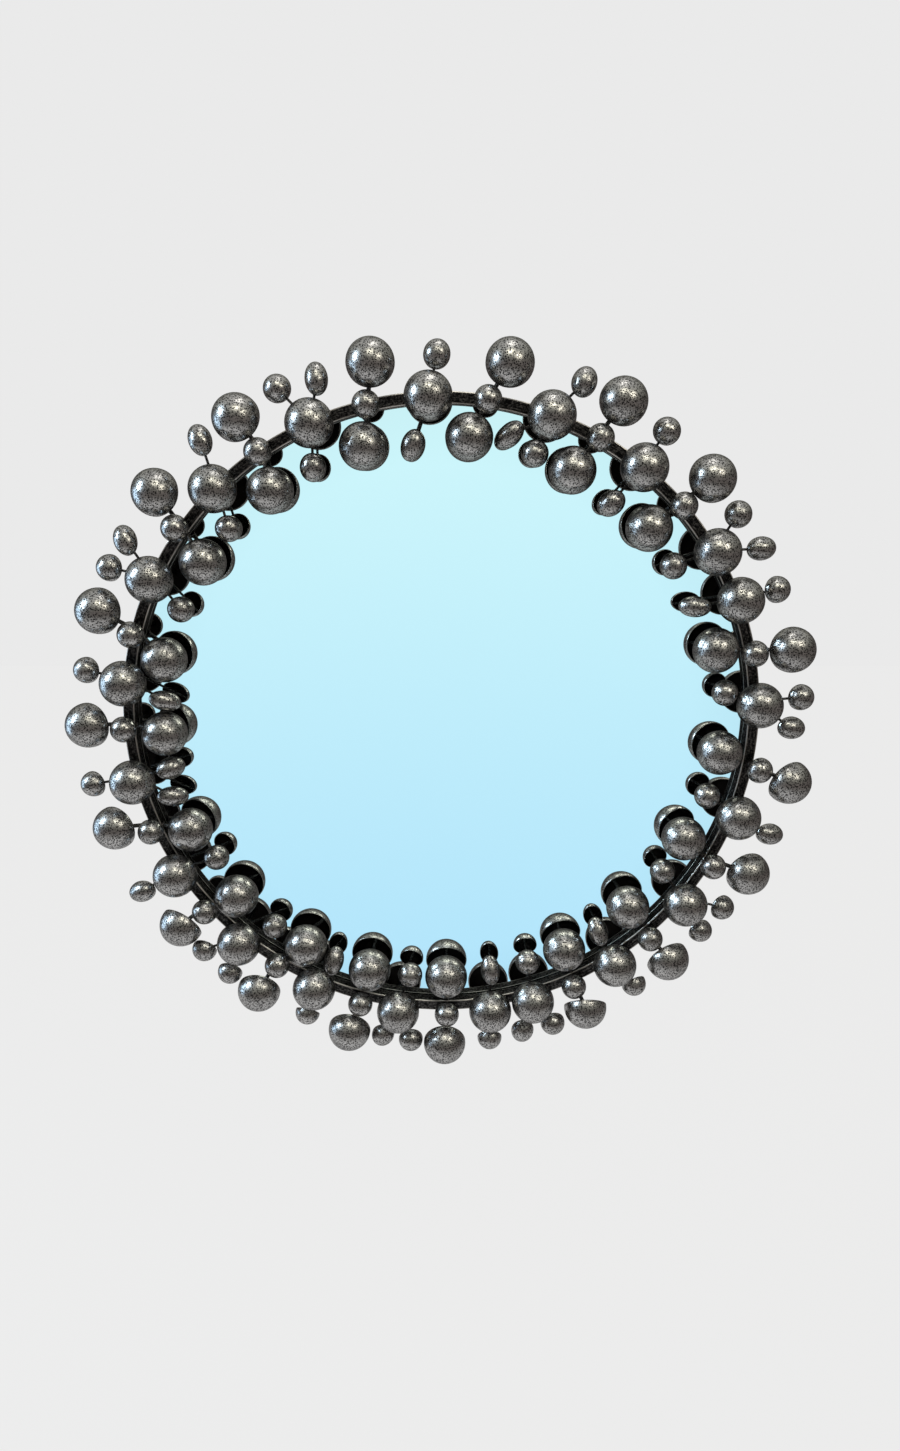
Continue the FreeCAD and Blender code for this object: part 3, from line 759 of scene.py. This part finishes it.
class MIRROR_OT_ring(bpy.types.Operator):
    """Roll the square bar into the ring"""
    bl_idname = "mirror.make_ring"
    bl_label = "Iron ring"

    def execute(self, context):
        sizes = context.scene.mirror_sizes
        around = RING_AROUND
        points, section = ring_points(sizes, around)
        rows = len(section)
        quads = wrapped_grid(around, rows)
        step = np.linalg.norm(section - np.roll(section, 1, axis=0), axis=1)
        edge = np.tile((np.maximum(step, np.roll(step, -1)) < 0.75 * sizes.bar_edge).astype(float), around)
        piece = new_piece("rolled_ring", points, quads, np.zeros((0, 3), int), shared(ring_iron),
                          {"edge": edge})
        sides = np.linalg.norm(np.roll(section, -1, axis=0) - section, axis=1)
        across = np.concatenate([[0], np.cumsum(sides)])
        along = np.linspace(0, math.pi * sizes.ring_diameter, around + 1)
        row, here = np.divmod(np.arange(around * rows), rows)
        u = np.stack([along[row], along[row + 1], along[row + 1], along[row]], -1)
        v = np.stack([across[here], across[here], across[here + 1], across[here + 1]], -1)
        uv = piece.data.uv_layers.new(name="UVMap")
        uv.data.foreach_set("uv", np.stack([u, v], -1).astype(np.float32).ravel())
        dress(piece, "ring_bar")
        return {"FINISHED"}


class MIRROR_OT_glass(bpy.types.Operator):
    """Cut and silver the glass"""
    bl_idname = "mirror.make_glass"
    bl_label = "Mirror glass"

    def execute(self, context):
        points, rows = glass_points(context.scene.mirror_sizes, GLASS_AROUND)
        quads, triangles = capped_grid(rows, GLASS_AROUND)
        ground = np.ones(len(points))
        ground[:1 + GLASS_AROUND] = 0
        piece = new_piece("silvered_disc", points, quads, triangles, shared(silvered_glass),
                          {"ground": ground})
        piece.data.polygons.foreach_set("use_smooth", np.zeros(len(piece.data.polygons), bool))
        dress(piece, "mirror_glass")
        return {"FINISHED"}


class MIRROR_OT_back(bpy.types.Operator):
    """Finish the board, tabs, brackets and bumpers behind the glass"""
    bl_idname = "mirror.finish_back"
    bl_label = "Back"

    def execute(self, context):
        finish_node("backing_board", fibreboard)
        for name in ("retaining_tabs", "hanging_bracket_left", "hanging_bracket_right"):
            finish_node(name, zinc_steel)
        for name in ("wall_bumper_left", "wall_bumper_right"):
            finish_node(name, bumper_rubber)
        return {"FINISHED"}


class MIRROR_OT_ring_bubbles(bpy.types.Operator):
    """Form the bubbles that stand on the ring, and their posts"""
    bl_idname = "mirror.make_ring_bubbles"
    bl_label = "Ring bubbles and posts"

    def execute(self, context):
        make_bubbles("ring")
        make_rods(("large_ring_posts", "small_ring_posts"))
        return {"FINISHED"}


class MIRROR_OT_outer_bubbles(bpy.types.Operator):
    """Form the bubbles outside the ring, with their stems and wires"""
    bl_idname = "mirror.make_outer_bubbles"
    bl_label = "Outer bubbles, stems and wires"

    def execute(self, context):
        make_bubbles("outer")
        make_rods(("outer_stems", "outer_wires"))
        return {"FINISHED"}


class MIRROR_OT_inner_bubbles(bpy.types.Operator):
    """Form the bubbles inside the ring, with their stems and wires"""
    bl_idname = "mirror.make_inner_bubbles"
    bl_label = "Inner bubbles, stems and wires"

    def execute(self, context):
        make_bubbles("inner")
        make_rods(("inner_stems", "inner_wires"))
        return {"FINISHED"}


# Stage

def in_mirror(tree, path):
    """One where the camera sees something straight in a sharp mirror, and nought elsewhere."""
    first = node(tree, "Math", {"operation": "LESS_THAN"}, i0=path["Glossy Depth"], i1=1.5).outputs[0]
    return node(tree, "Math", {"operation": "MULTIPLY"}, i0=path["Is Singular Ray"], i1=first).outputs[0]


def pale_floor(colours):
    """Floor that looks as pale as the backdrop to the camera, and to the metal shows a painted pool of
    light, pale near the mirror and dimming further off; it keeps a trace of the mirror's shadow. A sharp
    mirror shows the sky instead."""
    material = bpy.data.materials.new("pale_floor")
    material.use_nodes = True
    tree = material.node_tree
    tree.nodes.clear()
    path = tree.nodes.new("ShaderNodeLightPath").outputs
    at = tree.nodes.new("ShaderNodeTexCoord").outputs["Object"]
    away = node(tree, "VectorMath", {"operation": "DISTANCE"}, i0=at, i1=PAINTED_POOL_CENTRE).outputs["Value"]
    # The painted pool of light on the floor, which the metal shows: pale near the spot under the mirror, dim
    # further off.
    near = ramp(tree, node(tree, "MapRange", Value=away, From_Min=PAINTED_POOL_REACH, From_Max=DIM_REACH).outputs[0],
                [(0.0, (0.78, 0.78, 0.78)), (0.4, (0.38, 0.37, 0.36)), (1.0, (0.15, 0.13, 0.12))])
    seen = mixed(tree, path["Is Camera Ray"], near, tuple(1.06 * c for c in colours.backdrop))
    plain = node(tree, "Emission", Color=seen).outputs[0]
    lit = node(tree, "BsdfDiffuse", Color=(0.55, 0.53, 0.51, 1)).outputs[0]
    shows = node(tree, "Math", {"operation": "MAXIMUM"}, i0=path["Is Camera Ray"], i1=path["Is Glossy Ray"])
    share = node(tree, "Math", {"operation": "MULTIPLY"}, i0=shows.outputs[0], i1=PLAIN_SHARE).outputs[0]
    floor = node(tree, "MixShader", i0=share, i1=lit, i2=plain).outputs[0]
    clear = node(tree, "BsdfTransparent").outputs[0]
    node(tree, "OutputMaterial",
         Surface=node(tree, "MixShader", i0=in_mirror(tree, path), i1=floor, i2=clear).outputs[0])
    return material


def light_world(colours):
    """The world: the pale backdrop where the camera looks, the pale sky where a sharp mirror looks,
    and for the rest a plain room, brown and dim at eye level and lighter overhead."""
    world = bpy.data.worlds.new("studio")
    world.use_nodes = True
    tree = world.node_tree
    tree.nodes.clear()
    path = tree.nodes.new("ShaderNodeLightPath").outputs
    upward = node(tree, "SeparateXYZ", Vector=tree.nodes.new("ShaderNodeTexCoord").outputs["Generated"])
    height = node(tree, "MapRange", Value=upward.outputs["Z"], From_Min=-1.0, From_Max=1.0).outputs[0]
    room = ramp(tree, height, [(0.0, (0.45, 0.43, 0.42)), (0.47, (0.185, 0.162, 0.155)),
                               (0.60, (0.15, 0.143, 0.126)), (0.8, (0.45, 0.45, 0.40)),
                               (1.0, (0.7, 0.7, 0.68))])
    sky = ramp(tree, height, [(0.25, colours.sky_low), (0.53, colours.sky_high)])
    seen = mixed(tree, in_mirror(tree, path), mixed(tree, path["Is Camera Ray"], room, colours.backdrop), sky)
    light = node(tree, "Background", Color=seen)
    node(tree, "OutputWorld", Surface=light.outputs[0])
    bpy.context.scene.world = world


def add_lamp(lamp):
    """A rectangular soft lamp turned to the origin, behind the glass's centre."""
    light = bpy.data.lights.new(lamp.name, "AREA")
    light.shape = "RECTANGLE"
    light.size, light.size_y = lamp.size
    light.energy = lamp.power
    light.color = lamp.tint
    holder = bpy.data.objects.new(lamp.name, light)
    holder.location = lamp.place
    holder.rotation_euler = (-Vector(lamp.place)).to_track_quat("-Z", "Y").to_euler()
    holder.visible_camera = False
    bpy.context.scene.collection.objects.link(holder)


class MIRROR_OT_stage(bpy.types.Operator):
    """Set the floor, the lamps and the camera"""
    bl_idname = "mirror.set_stage"
    bl_label = "Stage"

    def execute(self, context):
        colours = context.scene.mirror_colours
        half, low = FLOOR_HALF, FLOOR_HEIGHT
        corners = np.array([[-half, -half, low], [half, -half, low], [half, half, low], [-half, half, low]])
        floor = new_piece("floor", corners, np.array([[0, 1, 2, 3]]), np.zeros((0, 3), int),
                          pale_floor(colours))
        light_world(colours)
        for lamp in LAMPS:
            add_lamp(lamp)
        camera = bpy.data.cameras.new("camera")
        camera.sensor_fit = "VERTICAL"
        camera.sensor_height = CAMERA_SENSOR
        camera.lens = CAMERA_LENS
        camera.clip_start = 0.01
        holder = bpy.data.objects.new("camera", camera)
        holder.location = CAMERA_PLACE
        holder.rotation_euler = (math.radians(CAMERA_TILT), 0, math.radians(CAMERA_TURN))
        context.scene.collection.objects.link(holder)
        context.scene.camera = holder
        context.scene.view_settings.view_transform = "Standard"
        return {"FINISHED"}


class MIRROR_PT_panel(bpy.types.Panel):
    """Lists the mirror's pieces, its sizes and its colours"""
    bl_idname = "MIRROR_PT_panel"
    bl_label = "Bubble mirror"
    bl_space_type = "VIEW_3D"
    bl_region_type = "UI"
    bl_category = "Mirror"

    def draw(self, context):
        for operator in OPERATORS:
            self.layout.operator(operator.bl_idname)
        for group in (context.scene.mirror_sizes, context.scene.mirror_colours):
            box = self.layout.box()
            for key in group.bl_rna.properties.keys():
                if key not in ("rna_type", "name"):
                    box.prop(group, key)


OPERATORS = (MIRROR_OT_stage, MIRROR_OT_ring, MIRROR_OT_glass, MIRROR_OT_back, MIRROR_OT_ring_bubbles,
             MIRROR_OT_outer_bubbles, MIRROR_OT_inner_bubbles)
CLASSES = (MirrorSizes, MirrorColours, *OPERATORS, MIRROR_PT_panel)


def register():
    for cls in CLASSES:
        bpy.utils.register_class(cls)
    bpy.types.Scene.mirror_sizes = PointerProperty(type=MirrorSizes)
    bpy.types.Scene.mirror_colours = PointerProperty(type=MirrorColours)


def unregister():
    del bpy.types.Scene.mirror_colours
    del bpy.types.Scene.mirror_sizes
    for cls in reversed(CLASSES):
        bpy.utils.unregister_class(cls)


def main():
    """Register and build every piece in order."""
    register()
    for operator in OPERATORS:
        group, name = operator.bl_idname.split(".")
        getattr(getattr(bpy.ops, group), name)()


if __name__ == "__main__":
    main()
